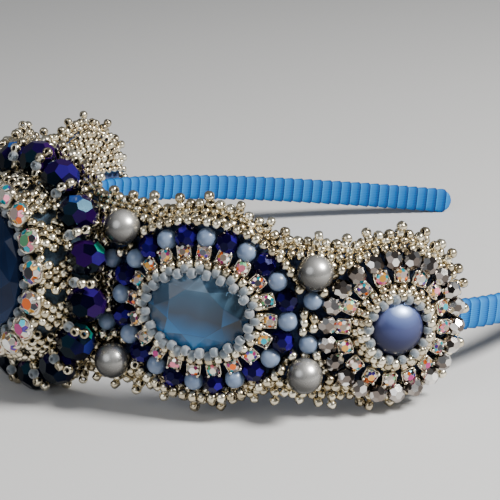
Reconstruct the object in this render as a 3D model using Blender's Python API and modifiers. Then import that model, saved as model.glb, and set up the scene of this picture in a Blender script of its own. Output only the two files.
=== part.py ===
"""Beaded headband lying on its side.

A narrow hoop is wound with ribbon. Its crown carries a felt panel with five bead-embroidered medallions:
a tall one at the crown, an oval one at each side of it and a round one at each end of the panel.

Pieces are laid out by arc length along the hoop, height across it and rise outward from its centreline.
The hoop's own frame has X to the side, +Y from the crown to the tips and +Z across the hoop. One empty
carries that frame at the tilt at which the headband lies, on the lowest crown beads and on its two tips.
"""

from math import cos, pi, sin, sqrt

import bmesh
import bpy
import numpy as np
from mathutils import Matrix, Vector

MM = 0.001

# Gap that touching pieces keep
GAP = 0.3 * MM

# Half of the hoop's centreline from the crown to a tip: arc lengths and radii
CROWN_ARC = (112.0 * MM, 64.0 * MM)
SIDE_ARC = (28.0 * MM, 110.0 * MM)
ARM_ARC = (52.0 * MM, 280.0 * MM)
HOOP_ARCS = (CROWN_ARC, SIDE_ARC, ARM_ARC)
HOOP_HALF_LENGTH = CROWN_ARC[0] + SIDE_ARC[0] + ARM_ARC[0]

# Ribbon-wound band
BAND_WIDTH = 7.0 * MM
BAND_THICKNESS = 2.8 * MM
RIB_PITCH = 2.8 * MM
RIB_DEPTH = 0.3 * MM
RIB_CREST_SHARE = 0.36
PLAIN_STEP = 6.0 * MM

# What lies farther than this from the crown is the hoop's tips
TIPS_FROM = 100.0 * MM

# Felt panel and its beaded edge
FELT_THICKNESS = 1.6 * MM
FELT_RISE = BAND_THICKNESS / 2 + GAP
FELT_TOP = FELT_RISE + FELT_THICKNESS
SEAT_RISE = FELT_TOP + GAP
EDGE_RADIUS = 1.3 * MM
EDGE_RISE = 2.2 * MM
EDGE_CROSSING_RISE = BAND_THICKNESS / 2 + GAP + EDGE_RADIUS
EDGE_INSET = 2 * EDGE_RADIUS + GAP
OUTLINE_STEP = 4.0 * MM

# Medallion outlines, beading included: arc length of the centre, half length, upper height and lower height
CENTER_OUTLINE = (0.0, 24.6 * MM, 26.4 * MM, 26.4 * MM)
OVAL_OUTLINE = (41.7 * MM, 21.4 * MM, 22.4 * MM, 21.2 * MM)
END_OUTLINE = (79.2 * MM, 16.8 * MM, 19.8 * MM, 16.9 * MM)
# Half heights of the waists, and the arc length where the inner one gives way to the outer one
INNER_WAIST = 20.0 * MM
OUTER_WAIST = 17.0 * MM
WAIST_SPLIT = 41.7 * MM

# Tall centre medallion, which is stiff and so stays plane
DARK_BEAD_RADIUS = 4.0 * MM
DARK_RING_RADIUS = 23.6 * MM
DARK_BEAD_COUNT = 15
DARK_RING_RISE = SEAT_RISE + DARK_BEAD_RADIUS
DOME_RADIUS = 19.2 * MM
DOME_SHOULDER_RADIUS = 18.4 * MM
DOME_SHOULDER_RISE = 12.6 * MM
DOME_TOP_RISE = 14.6 * MM
MAIN_STONE_RADIUS = 12.6 * MM
MAIN_STONE_HEIGHT = 5.6 * MM
MAIN_COLLAR_WIDTH = 1.6 * MM
MAIN_COLLAR_HEIGHT = 3.4 * MM
MAIN_CHATON_RING_RADIUS = 17.0 * MM
MAIN_CHATON_RADIUS = 1.9 * MM

# Oval medallions
OVAL_STONE = (11.0 * MM, 8.9 * MM)
OVAL_GIRDLE_HEIGHT = 4.0 * MM
OVAL_STONE_HEIGHT = 6.0 * MM
OVAL_CHATON_OFFSET = 3.7 * MM
OVAL_BEAD_RING = (18.35 * MM, 15.4 * MM)
OVAL_BEAD_PAIRS = 12
LIGHT_BEAD_RADIUS = 2.1 * MM
COBALT_BEAD_RADIUS = 2.25 * MM

# End medallions
END_CABOCHON_RADIUS = 6.0 * MM
END_CABOCHON_HEIGHT = 7.4 * MM
END_CHATON_RING_RADIUS = 11.4 * MM
END_FACETED_RING_RADIUS = 14.5 * MM
END_FACETED_COUNT = 22
END_FACETED_RADIUS = 1.9 * MM
END_FACETED_RISE = SEAT_RISE + END_FACETED_RADIUS + 0.8 * MM
CHATON_RADIUS = 1.0 * MM

# Pearls and light accent beads in the notches: arc length and height across the band
PEARL_RADIUS = 3.8 * MM
ACCENT_RADIUS = 2.0 * MM
INNER_PEARL = (24.6 * MM, 14.6 * MM)
INNER_ACCENT = (21.6 * MM, 6.9 * MM)
OUTER_PEARL = (62.6 * MM, 11.0 * MM)
OUTER_ACCENT = (62.9 * MM, 4.7 * MM)

SIDES = (("left", -1), ("right", 1))

RIBBON_BLUE = (0.10, 0.36, 0.72)
FELT_NAVY = (0.03, 0.05, 0.14)
SEED_SILVER = (0.72, 0.69, 0.62)
STONE_BLUE = (0.24, 0.42, 0.68)
NAVY_GLASS = (0.03, 0.03, 0.16)
RING_BLUE = (0.20, 0.28, 0.62)
PEARL_GREY = (0.66, 0.65, 0.63)
LIGHT_BLUE = (0.50, 0.60, 0.76)
PERIWINKLE = (0.28, 0.32, 0.62)
AURORA_CRYSTAL = (0.85, 0.80, 0.76)
MIRROR_SILVER = (0.78, 0.77, 0.75)


def clear_scene():
    for obj in list(bpy.data.objects):
        bpy.data.objects.remove(obj, do_unlink=True)


def make_material(name, colour, roughness, metallic=0.0):
    material = bpy.data.materials.new(name)
    material.use_nodes = True
    shader = material.node_tree.nodes["Principled BSDF"]
    shader.inputs["Base Color"].default_value = (*colour, 1.0)
    shader.inputs["Roughness"].default_value = roughness
    shader.inputs["Metallic"].default_value = metallic
    return material


def make_materials():
    return {
        "ribbon": make_material("ribbon", RIBBON_BLUE, 0.7),
        "felt": make_material("felt", FELT_NAVY, 0.95),
        "seeds": make_material("seeds", SEED_SILVER, 0.3, 0.9),
        "stone": make_material("stone", STONE_BLUE, 0.15),
        "navy_glass": make_material("navy_glass", NAVY_GLASS, 0.1),
        "bead_ring": make_material("bead_ring", RING_BLUE, 0.2),
        "pearl": make_material("pearl", PEARL_GREY, 0.3),
        "light_bead": make_material("light_bead", LIGHT_BLUE, 0.3),
        "cabochon": make_material("cabochon", PERIWINKLE, 0.3),
        "crystal": make_material("crystal", AURORA_CRYSTAL, 0.1, 0.4),
        "faceted_silver": make_material("faceted_silver", MIRROR_SILVER, 0.12, 1.0),
    }


# Layout on the hoop

def hoop_frame(s):
    """Point of the centreline at arc length s and its outward normal; s below 0 is the left side"""
    side = -1 if s < 0 else 1
    left = abs(s)
    x = y = angle = 0.0
    for length, radius in HOOP_ARCS:
        turn = min(left, length) / radius
        x += radius * (sin(angle + turn) - sin(angle))
        y += radius * (cos(angle) - cos(angle + turn))
        angle += turn
        left = max(left - length, 0.0)
    return Vector((side * x, y, 0)), Vector((side * sin(angle), -cos(angle), 0))


def place(s, z, rise):
    """Point at arc length s, height z across the band and distance rise outward of the centreline"""
    point, outward = hoop_frame(s)
    return point + outward * rise + Vector((0, 0, z))


def on_medallion(center, x, z, rise):
    """Point of a bent medallion, where x is a true length along the band at that rise"""
    radius = CROWN_ARC[1]
    return place(center + x * radius / (radius + rise), z, rise)


def seat_matrix(s, z, rise):
    """Matrix of a piece that stands on the panel: its X along the band and its Z outward"""
    outward = hoop_frame(s)[1]
    along = Vector((0, 0, 1)).cross(-outward)
    axes = Matrix((along, Vector((0, 0, 1)), outward)).transposed()
    return Matrix.Translation(place(s, z, rise)) @ axes.to_4x4()


def outline_height(s, above, inset=0.0):
    """Height of the panel's scalloped outline above or below the band's middle, drawn in by inset"""
    waist = INNER_WAIST if abs(s) < WAIST_SPLIT else OUTER_WAIST
    heights = [waist - inset] if abs(s) < END_OUTLINE[0] else [0.0]
    for center, half_length, upper, lower in (CENTER_OUTLINE, OVAL_OUTLINE, END_OUTLINE):
        across = (abs(s) - center) / (half_length - inset)
        if abs(across) < 1:
            heights.append(((upper if above else lower) - inset) * sqrt(1 - across * across))
    return max(heights)


def outline_stations(inset, reach):
    """Arc lengths from the left end to the right one, closer together round the panel's rounded ends"""
    end_center, half_length = END_OUTLINE[:2]
    count = round(2 * end_center / OUTLINE_STEP)
    straight = [end_center * (2 * i / count - 1) for i in range(count + 1)]
    bend = [end_center + (half_length - inset) * sin(reach * i / 5) for i in range(1, 6)]
    return [-s for s in reversed(bend)] + straight + bend


# Object makers

def add_object(name, data, material):
    obj = bpy.data.objects.new(name, data)
    obj.data.materials.append(material)
    obj.parent = HEADBAND["frame"]
    HEADBAND["parts"].objects.link(obj)
    return obj


def finish_mesh(name, bm, material, smooth=True):
    """Object from a bmesh with its faces turned outward"""
    bmesh.ops.recalc_face_normals(bm, faces=bm.faces)
    mesh = bpy.data.meshes.new(name)
    bm.to_mesh(mesh)
    bm.free()
    if smooth:
        mesh.shade_smooth()
    return add_object(name, mesh, material)


def cap_loop(bm, loop):
    """Close a loop with strips that join the points opposite each other"""
    count = len(loop)
    for i in range(count // 2):
        corners = (loop[i], loop[i + 1], loop[-1 - i], loop[(count - i) % count])
        bm.faces.new(list(dict.fromkeys(corners)))


def loft(name, sections, material, closed=False):
    """Body lofted through loops of points; a closed one joins its last section to the first"""
    bm = bmesh.new()
    loops = [[bm.verts.new(point) for point in section] for section in sections]
    following = loops[1:] + loops[:1] if closed else loops[1:]
    for loop, after in zip(loops, following):
        for i, vert in enumerate(loop):
            j = (i + 1) % len(loop)
            bm.faces.new((vert, loop[j], after[j], after[i]))
    if not closed:
        cap_loop(bm, loops[0])
        cap_loop(bm, loops[-1])
    return finish_mesh(name, bm, material, smooth=False)


def ring_tube(name, points, radius, material, radii=None, bevel_resolution=2):
    """Closed tube along points; radii are shares of the radius, one for each point"""
    curve = bpy.data.curves.new(name, "CURVE")
    curve.dimensions = "3D"
    curve.bevel_depth = radius
    curve.bevel_resolution = bevel_resolution
    spline = curve.splines.new("POLY")
    spline.points.add(len(points) - 1)
    for i, point in enumerate(points):
        spline.points[i].co = (*point, 1.0)
        spline.points[i].radius = radii[i] if radii else 1.0
    spline.use_cyclic_u = True
    return add_object(name, curve, material)


def turned(name, profile, steps, material, matrix, stretch=1.0):
    """Body turned about its own Z axis; the profile runs down its outer side from the axis to the axis"""
    mesh = bpy.data.meshes.new(name)
    edges = [(i, i + 1) for i in range(len(profile) - 1)]
    mesh.from_pydata([(x, 0, z) for x, z in profile], edges, [])
    obj = add_object(name, mesh, material)
    obj.matrix_local = matrix @ Matrix.Diagonal((1, stretch, 1, 1))
    screw = obj.modifiers.new("turn", "SCREW")
    screw.axis = "Z"
    screw.steps = steps
    screw.render_steps = steps
    screw.use_merge_vertices = True
    screw.merge_threshold = 0.00001
    screw.use_smooth_shade = False
    return obj


def bead(name, radius, material, matrix, segments, rings, smooth=True):
    """Round bead whose poles point across the band"""
    bm = bmesh.new()
    bmesh.ops.create_uvsphere(bm, u_segments=segments, v_segments=rings, radius=radius)
    bmesh.ops.rotate(bm, verts=bm.verts, matrix=Matrix.Rotation(pi / 2, 3, "X"))
    obj = finish_mesh(name, bm, material, smooth)
    obj.matrix_local = matrix
    return obj


# Shapes that medallions share

def ellipse_arc_points(semi_axes, shares):
    """Points of an ellipse at shares of its perimeter, counted from its +X end"""
    angles = np.linspace(0, 2 * pi, 721)
    xs = semi_axes[0] * np.cos(angles)
    zs = semi_axes[1] * np.sin(angles)
    lengths = np.concatenate([[0], np.cumsum(np.hypot(np.diff(xs), np.diff(zs)))])
    at = np.interp(np.mod(shares, 1.0) * lengths[-1], lengths, angles)
    return [(semi_axes[0] * cos(a), semi_axes[1] * sin(a)) for a in at]


def bead_string(name, center, semi_axes, rise, bead_radii, shape, material):
    """Ring of beads fused into one body: a closed tube that swells at each bead and narrows between them.

    shape holds one bead's stations: share of the way from its centre to its neck, and share of its radius
    """
    total = sum(bead_radii)
    shares = []
    radii = []
    edge = -bead_radii[0] / 2
    for radius in bead_radii:
        middle = edge + radius / 2
        for along, swell in shape:
            shares.append((middle + along * radius / 2) / total)
            radii.append(swell * radius / max(bead_radii))
        edge += radius
    points = [on_medallion(center, x, z, rise) for x, z in ellipse_arc_points(semi_axes, np.array(shares))]
    return ring_tube(name, points, max(bead_radii), material, radii)


def chaton_tube(name, center, semi_axes, rise, radius, count, material):
    """Plain ring along which the small set stones are strung"""
    shares = np.arange(count) / count
    points = [on_medallion(center, x, z, rise) for x, z in ellipse_arc_points(semi_axes, shares)]
    return ring_tube(name, points, radius, material)


def collar(name, center, stone, profile, steps, material):
    """Beaded collar round a stone, bent with the felt; profile rows are offset from the stone and rise"""
    sections = []
    for i in range(steps):
        angle = 2 * pi * i / steps
        sections.append([
            on_medallion(center, (stone[0] + offset) * cos(angle), (stone[1] + offset) * sin(angle), rise)
            for offset, rise in profile
        ])
    return loft(name, sections, material, closed=True)


def cut_stone_profile(radius, girdle_height, height, table_share):
    """Outline of a cut stone, from its table down to its flat back"""
    return [
        (0, height),
        (radius * table_share, height),
        (radius * (1 + table_share) / 2, (height * 2 + girdle_height) / 3),
        (radius, girdle_height),
        (radius, girdle_height * 0.7),
        (radius * 0.86, 0),
        (0, 0),
    ]


# Hoop and panel

def band_section(s, shrink):
    """Eight-sided section of the band, flat inside and outside, drawn in by shrink"""
    half_width = BAND_WIDTH / 2 - shrink
    half_thickness = BAND_THICKNESS / 2 - shrink * 0.6
    flat_half_width = half_width * 0.66
    edge_half_thickness = half_thickness * 0.45
    corners = (
        (flat_half_width, half_thickness),
        (half_width, edge_half_thickness),
        (half_width, -edge_half_thickness),
        (flat_half_width, -half_thickness),
        (-flat_half_width, -half_thickness),
        (-half_width, -edge_half_thickness),
        (-half_width, edge_half_thickness),
        (-flat_half_width, half_thickness),
    )
    return [place(s, z, rise) for z, rise in corners]


def make_headband_hoop(materials):
    """Band from tip to tip: wound ribs on the two arms, plain under the panel, rounded tips"""
    ribs_from = END_OUTLINE[0] + END_OUTLINE[1] - 2 * RIB_PITCH
    ribs_to = HOOP_HALF_LENGTH - BAND_WIDTH * 0.4
    count = round((ribs_to - ribs_from) / RIB_PITCH)
    plain_count = round(ribs_from / PLAIN_STEP)
    half = [(PLAIN_STEP * (i + 0.5), 0.0) for i in range(plain_count - 1)]
    for i in range(count):
        start = ribs_from + i * RIB_PITCH
        half.append((start, RIB_DEPTH))
        half.append((start + RIB_PITCH * (1 - RIB_CREST_SHARE), 0.0))
    half.append((ribs_to, RIB_DEPTH))
    half.append((HOOP_HALF_LENGTH - BAND_WIDTH * 0.15, BAND_WIDTH * 0.09))
    half.append((HOOP_HALF_LENGTH, BAND_WIDTH * 0.19))
    stations = [(-s, shrink) for s, shrink in reversed(half)] + half
    loft("headband_hoop", [band_section(s, shrink) for s, shrink in stations], materials["ribbon"])


def make_felt_panel(materials):
    """Felt bent round the crown: an open sheet between the scalloped edges, thickened outward"""
    stations = outline_stations(EDGE_INSET, pi * 0.44)
    bm = bmesh.new()
    bmesh.ops.create_grid(bm, x_segments=len(stations) - 1, y_segments=1, size=1.0)
    for vert in bm.verts:
        column = round((vert.co.x + 1) / 2 * (len(stations) - 1))
        s = stations[column]
        above = vert.co.y > 0
        height = outline_height(s, above, EDGE_INSET)
        vert.co = place(s, height if above else -height, FELT_RISE)
    mesh = bpy.data.meshes.new("felt_panel")
    bm.to_mesh(mesh)
    bm.free()
    obj = add_object("felt_panel", mesh, materials["felt"])
    solidify = obj.modifiers.new("thickness", "SOLIDIFY")
    solidify.thickness = FELT_THICKNESS
    solidify.offset = -1.0 if mesh.polygons[0].normal.dot(hoop_frame(-HOOP_HALF_LENGTH)[1]) < 0 else 1.0
    solidify.use_even_offset = False


def edge_point(s, above):
    """Point of the border's centreline, which climbs over the band where it crosses it"""
    height = outline_height(s, above, EDGE_RADIUS)
    over_band = height < BAND_WIDTH
    return place(s, height if above else -height, EDGE_CROSSING_RISE if over_band else EDGE_RISE)


def make_edge_beading(materials):
    """Rounded border all round the felt, where the seed beads of the edge are sewn"""
    stations = outline_stations(EDGE_RADIUS, pi / 2)
    upper = [edge_point(s, True) for s in stations]
    lower = [edge_point(s, False) for s in reversed(stations[1:-1])]
    ring_tube("edge_beading", upper + lower, EDGE_RADIUS, materials["seeds"])


# Centre medallion

def felt_depth_below_plane(x):
    """How far the felt's seat curves away, at x to the side, from the plane that touches it at the crown"""
    radius = CROWN_ARC[1] + SEAT_RISE
    return radius - sqrt(radius * radius - x * x)


def make_center_dome(materials):
    """Tall padded drum: its foot follows the felt, its shoulder and top are plane"""
    steps = 24
    levels = (
        (DOME_RADIUS, SEAT_RISE, True),
        (DOME_RADIUS, DARK_RING_RISE, False),
        (DOME_SHOULDER_RADIUS + GAP, DOME_SHOULDER_RISE - GAP, False),
        (DOME_SHOULDER_RADIUS - GAP, DOME_TOP_RISE, False),
    )
    sections = []
    for radius, rise, bent in levels:
        section = []
        for i in range(steps):
            angle = 2 * pi * i / steps
            x = radius * cos(angle)
            depth = felt_depth_below_plane(x) if bent else 0.0
            section.append(Vector((x, depth - rise, radius * sin(angle))))
        sections.append(section)
    loft("center_dome", sections, materials["felt"])


def make_main_stone(materials):
    profile = cut_stone_profile(MAIN_STONE_RADIUS, MAIN_STONE_HEIGHT * 0.6, MAIN_STONE_HEIGHT, 0.6)
    turned("main_stone", profile, 16, materials["stone"], seat_matrix(0, 0, DOME_TOP_RISE + GAP))


def make_main_bezel(materials):
    """Beaded collar round the main stone"""
    inner = MAIN_STONE_RADIUS + GAP
    outer = inner + MAIN_COLLAR_WIDTH
    low = DOME_TOP_RISE + GAP
    high = low + MAIN_COLLAR_HEIGHT
    sections = []
    steps = 24
    for i in range(steps):
        angle = 2 * pi * i / steps
        sections.append([
            Vector((radius * cos(angle), -rise, radius * sin(angle)))
            for radius, rise in ((inner, low), (outer, low), (outer, high - GAP), (inner, high))
        ])
    loft("main_bezel", sections, materials["seeds"], closed=True)


def make_main_chaton_ring(materials):
    rise = DOME_TOP_RISE + GAP + MAIN_CHATON_RADIUS
    steps = 26
    points = []
    for i in range(steps):
        angle = 2 * pi * i / steps
        radius = MAIN_CHATON_RING_RADIUS
        points.append(Vector((radius * cos(angle), -rise, radius * sin(angle))))
    ring_tube("main_chaton_ring", points, MAIN_CHATON_RADIUS, materials["crystal"])


def make_dark_beads(materials):
    """Ring of large faceted beads against the drum's wall, two of them lowest"""
    for i in range(DARK_BEAD_COUNT):
        angle = 2 * pi * (i + 0.5) / DARK_BEAD_COUNT - pi / 2
        center = Vector((DARK_RING_RADIUS * cos(angle), -DARK_RING_RISE, DARK_RING_RADIUS * sin(angle)))
        matrix = Matrix.Translation(center) @ Matrix.Rotation(-angle, 4, "Y")
        bead(f"dark_bead_{i + 1:02d}", DARK_BEAD_RADIUS, materials["navy_glass"], matrix, 10, 5, smooth=False)


# Oval and end medallions

def make_oval_medallion(side, sign, materials):
    center = sign * OVAL_OUTLINE[0]
    length, width = OVAL_STONE
    profile = cut_stone_profile(length, OVAL_GIRDLE_HEIGHT, OVAL_STONE_HEIGHT, 0.55)
    turned(f"oval_stone_{side}", profile, 16, materials["stone"],
           seat_matrix(center, 0, SEAT_RISE), stretch=width / length)
    shelf = SEAT_RISE + 2.4 * MM
    wall = (
        (GAP + 0.2 * MM, SEAT_RISE),
        (4.0 * MM, SEAT_RISE),
        (4.0 * MM, shelf),
        (2.3 * MM, shelf),
        (1.9 * MM, SEAT_RISE + 4.6 * MM),
        (GAP + 0.2 * MM, SEAT_RISE + 5.0 * MM),
    )
    collar(f"oval_bezel_{side}", center, OVAL_STONE, wall, 26, materials["seeds"])
    chaton_axes = (length + OVAL_CHATON_OFFSET + GAP, width + OVAL_CHATON_OFFSET)
    chaton_tube(f"oval_chaton_chain_{side}", center, chaton_axes, shelf + GAP + CHATON_RADIUS,
                CHATON_RADIUS, 26, materials["crystal"])
    radii = [LIGHT_BEAD_RADIUS, COBALT_BEAD_RADIUS] * OVAL_BEAD_PAIRS
    bead_string(f"oval_bead_ring_{side}", center, OVAL_BEAD_RING, SEAT_RISE + COBALT_BEAD_RADIUS,
                radii, ((-1.0, 0.3), (-0.5, 0.9), (0.5, 0.9)), materials["bead_ring"])


def make_end_medallion(side, sign, materials):
    center = sign * END_OUTLINE[0]
    radius = END_CABOCHON_RADIUS
    dome_from = END_CABOCHON_HEIGHT * 0.45
    dome_height = END_CABOCHON_HEIGHT - dome_from
    dome = [(radius * sin(a), dome_from + dome_height * cos(a)) for a in (0.0, 0.5, 1.0, pi / 2)]
    turned(f"end_cabochon_{side}", dome + [(radius, 0), (0, 0)], 16, materials["cabochon"],
           seat_matrix(center, 0, SEAT_RISE))
    shelf = SEAT_RISE + 2.0 * MM
    wall = (
        (GAP + 0.1 * MM, SEAT_RISE),
        (5.8 * MM, SEAT_RISE),
        (5.8 * MM, shelf),
        (3.8 * MM, shelf),
        (3.2 * MM, SEAT_RISE + 3.6 * MM),
        (1.9 * MM, SEAT_RISE + 4.8 * MM),
        (GAP + 0.1 * MM, SEAT_RISE + 4.8 * MM),
    )
    collar(f"end_bezel_{side}", center, (radius, radius), wall, 20, materials["seeds"])
    chaton_axes = (END_CHATON_RING_RADIUS, END_CHATON_RING_RADIUS)
    chaton_tube(f"end_chaton_chain_{side}", center, chaton_axes, shelf + GAP + CHATON_RADIUS,
                CHATON_RADIUS, 20, materials["crystal"])
    bead_axes = (END_FACETED_RING_RADIUS, END_FACETED_RING_RADIUS)
    bead_string(f"end_faceted_ring_{side}", center, bead_axes, END_FACETED_RISE,
                [END_FACETED_RADIUS] * END_FACETED_COUNT, ((-1.0, 0.35), (-0.45, 0.95), (0.45, 0.95)),
                materials["faceted_silver"])


def make_notch_beads(materials):
    """Two pearls and two light beads in each notch between medallions"""
    groups = (
        ("pearl", PEARL_RADIUS, (INNER_PEARL, OUTER_PEARL), materials["pearl"], 12, 6),
        ("accent_bead", ACCENT_RADIUS, (INNER_ACCENT, OUTER_ACCENT), materials["light_bead"], 10, 5),
    )
    for kind, radius, spots, material, segments, rings in groups:
        number = 0
        for _, sign in SIDES:
            for s, z in spots:
                for above in (1, -1):
                    number += 1
                    matrix = seat_matrix(sign * s, above * z, SEAT_RISE + radius)
                    bead(f"{kind}_{number:02d}", radius, material, matrix, segments, rings)


# Rest

def rest_tilt(points):
    """Tilt at which the lowest crown beads and the two tips touch the same floor"""
    at_tips = points[:, 1] > TIPS_FROM
    tilt = 0.0
    for _ in range(4):
        heights = points[:, 2] * cos(tilt) - points[:, 1] * sin(tilt)
        lowest = points[np.argmin(np.where(at_tips, np.inf, heights))]
        climbs = points[at_tips] - lowest
        tilt = float(np.min(np.arctan2(climbs[:, 2], climbs[:, 1])))
    return tilt


def part_points():
    """All points of the finished pieces, in world coordinates"""
    depsgraph = bpy.context.evaluated_depsgraph_get()
    points = []
    for obj in HEADBAND["parts"].objects:
        evaluated = obj.evaluated_get(depsgraph)
        mesh = evaluated.to_mesh()
        points.extend(evaluated.matrix_world @ vert.co for vert in mesh.vertices)
        evaluated.to_mesh_clear()
    return np.array(points)


def lay_on_floor(frame):
    """Tilt the headband to its rest and put the middle of its lowest face at the origin"""
    bpy.context.view_layer.update()
    frame.rotation_euler = (-rest_tilt(part_points()), 0, 0)
    bpy.context.view_layer.update()
    points = part_points()
    low = points.min(axis=0)
    high = points.max(axis=0)
    frame.location = (-(low[0] + high[0]) / 2, -(low[1] + high[1]) / 2, -low[2])
    bpy.context.view_layer.update()


HEADBAND = {}


def build():
    clear_scene()
    frame = bpy.data.objects.new("headband_frame", None)
    parts = bpy.data.collections.new("beaded_headband")
    bpy.context.scene.collection.children.link(parts)
    bpy.context.scene.collection.objects.link(frame)
    HEADBAND["frame"] = frame
    HEADBAND["parts"] = parts
    materials = make_materials()
    make_headband_hoop(materials)
    make_felt_panel(materials)
    make_edge_beading(materials)
    make_center_dome(materials)
    make_main_stone(materials)
    make_main_bezel(materials)
    make_main_chaton_ring(materials)
    make_dark_beads(materials)
    for side, sign in SIDES:
        make_oval_medallion(side, sign, materials)
        make_end_medallion(side, sign, materials)
    make_notch_beads(materials)
    lay_on_floor(frame)


build()
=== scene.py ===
"""Looks of the beaded headband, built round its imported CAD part.

Beads are laid out in the hoop's own frame, in metres: X to the side, +Y from the crown to the tips and
+Z across the hoop. A place on the hoop is its arc length, its height across the band and its rise
outward of the band's centreline. Every mesh is then carried into the row frame by the hoop's tilt.
"""

from math import atan2, cos, hypot, pi, radians, sin, sqrt

import bmesh
import bpy
import numpy as np
from mathutils import Matrix, Vector


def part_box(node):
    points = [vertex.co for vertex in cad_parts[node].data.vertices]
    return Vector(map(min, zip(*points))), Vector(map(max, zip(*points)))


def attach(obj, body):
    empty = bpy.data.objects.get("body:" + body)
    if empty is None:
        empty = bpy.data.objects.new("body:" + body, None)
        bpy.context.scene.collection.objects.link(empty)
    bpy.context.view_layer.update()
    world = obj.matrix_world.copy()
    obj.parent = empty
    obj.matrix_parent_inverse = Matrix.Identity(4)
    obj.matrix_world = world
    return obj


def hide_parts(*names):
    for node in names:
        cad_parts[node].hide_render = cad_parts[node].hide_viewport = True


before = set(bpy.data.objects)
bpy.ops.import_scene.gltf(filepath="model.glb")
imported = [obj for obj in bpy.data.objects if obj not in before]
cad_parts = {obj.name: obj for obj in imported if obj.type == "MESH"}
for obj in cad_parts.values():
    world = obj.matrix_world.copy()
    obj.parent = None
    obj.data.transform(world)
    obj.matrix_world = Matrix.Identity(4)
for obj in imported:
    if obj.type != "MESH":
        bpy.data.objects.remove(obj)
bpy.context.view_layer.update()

MM = 0.001
RNG = np.random.default_rng(20)
SIDES = (("left", -1), ("right", 1))
UP = np.array([0.0, 0.0, 1.0])

# The same sizes as the CAD part's
GAP = 0.3 * MM
HOOP_ARCS = ((112.0 * MM, 64.0 * MM), (28.0 * MM, 110.0 * MM), (52.0 * MM, 280.0 * MM))
CROWN_RADIUS = HOOP_ARCS[0][1]
HOOP_HALF_LENGTH = sum(length for length, _ in HOOP_ARCS)
BAND_WIDTH = 7.0 * MM
BAND_THICKNESS = 2.8 * MM
RIB_PITCH = 2.8 * MM
FELT_TOP = 3.3 * MM
SEAT_RISE = FELT_TOP + GAP
CENTER_OUTLINE = (0.0, 24.6 * MM, 26.4 * MM, 26.4 * MM)
OVAL_OUTLINE = (41.7 * MM, 21.4 * MM, 22.4 * MM, 21.2 * MM)
END_OUTLINE = (79.2 * MM, 16.8 * MM, 19.8 * MM, 16.9 * MM)
INNER_WAIST = 20.0 * MM
OUTER_WAIST = 17.0 * MM
DARK_BEAD_RADIUS = 4.0 * MM
DARK_RING_RADIUS = 23.6 * MM
DARK_BEAD_COUNT = 15
DARK_RING_RISE = SEAT_RISE + DARK_BEAD_RADIUS
DARK_RING_PHASE = 0.5 - DARK_BEAD_COUNT / 4
DOME_RADIUS = 19.2 * MM
DOME_TOP_RISE = 14.6 * MM
MAIN_STONE_RADIUS = 12.6 * MM
MAIN_STONE_HEIGHT = 5.6 * MM
MAIN_CHATON_RING = 17.0 * MM
OVAL_STONE = (11.0 * MM, 8.9 * MM)
OVAL_STONE_HEIGHT = 6.0 * MM
OVAL_BEZEL = (11.0 * MM, 8.0 * MM)
OVAL_CHATON_RING = (15.0 * MM, 12.6 * MM)
OVAL_BEAD_RING = (18.35 * MM, 15.4 * MM)
LIGHT_BEAD_RADIUS = 2.1 * MM
COBALT_BEAD_RADIUS = 2.3 * MM
END_CABOCHON_RADIUS = 6.0 * MM
END_CABOCHON_HEIGHT = 7.4 * MM
END_CHATON_RING = 11.4 * MM
END_FACETED_RING = 14.5 * MM
END_FACETED_RADIUS = 1.9 * MM
END_FACETED_RISE = SEAT_RISE + END_FACETED_RADIUS + 0.8 * MM
PEARL_RADIUS = 3.8 * MM
ACCENT_RADIUS = 2.0 * MM
PEARL_SPOTS = ((24.6 * MM, 14.6 * MM), (62.6 * MM, 11.0 * MM))
ACCENT_SPOTS = ((21.6 * MM, 6.9 * MM), (62.9 * MM, 4.7 * MM))

# Half axes that a medallion's own beads take up on the felt, with room for half a seed
OVAL_CLEARANCE = (21.2 * MM, 18.2 * MM)
END_CLEARANCE = (16.8 * MM, 16.8 * MM)

# Seed bead: outer radius, half length along its hole, pitch in a row and least distance between sewn ones
SEED_RADIUS = 1.10 * MM
SEED_HALF_LENGTH = 0.84 * MM
SEED_PITCH = 2.0 * MM
SEED_APART = 1.82 * MM

# Rows round each stone: distance outside its bezel and rise over its seat, both in mm, count, phase and kind
MAIN_BEZEL_ROWS = (
    (1.8, 1.0, 50, 0.0, "silver"), (1.7, 1.6, 25, 0.5, "frosted"), (1.3, 2.4, 25, 0.0, "frosted"),
)
OVAL_BEZEL_ROWS = (
    (2.4, 1.1, 40, 0.0, "silver"), (2.5, 3.2, 20, 0.0, "silver"), (2.15, 4.5, 37, 0.5, "silver"),
    (1.3, 5.0, 20, 0.0, "frosted"), (0.4, 5.7, 20, 0.5, "frosted"),
)
END_BEZEL_ROWS = (
    (2.6, 1.1, 30, 0.5, "silver"), (2.6, 3.3, 25, 0.0, "silver"), (1.9, 4.4, 28, 0.25, "silver"),
    (0.65, 5.1, 14, 0.0, "frosted"), (1.2, 5.2, 14, 0.5, "silver"),
)

# Rows of set crystals: rise over the seat, radius of cup and crystal, all in mm, count, phase and outward lean
MAIN_CHATONS = (2.0, 2.5, 2.5, 16, 0.5, 0.35)
OVAL_CHATONS = (3.7, 1.55, 1.32, 20, 0.0, 0.15)
END_CHATONS = (3.4, 1.6, 1.36, 16, 0.0, 0.2)
OVAL_BEAD_COUNT = 24
END_FACETED_COUNT = 22

# Seeds over each gap between two dark beads: radius and rise in mm, and kind
GAP_SEEDS = ((22.2, 10.6, "silver"), (24.0, 11.1, "frosted"), (25.8, 10.4, "silver"), (27.0, 8.8, "silver"))

# Net over the drum's wall and shoulder: rise and radius of its rows in mm, and seeds in a full row
NET_ROWS = ((9.8, 20.2), (11.4, 20.1), (13.0, 19.8), (14.4, 19.2), (15.5, 18.1))
NET_COLUMNS = 56

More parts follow.
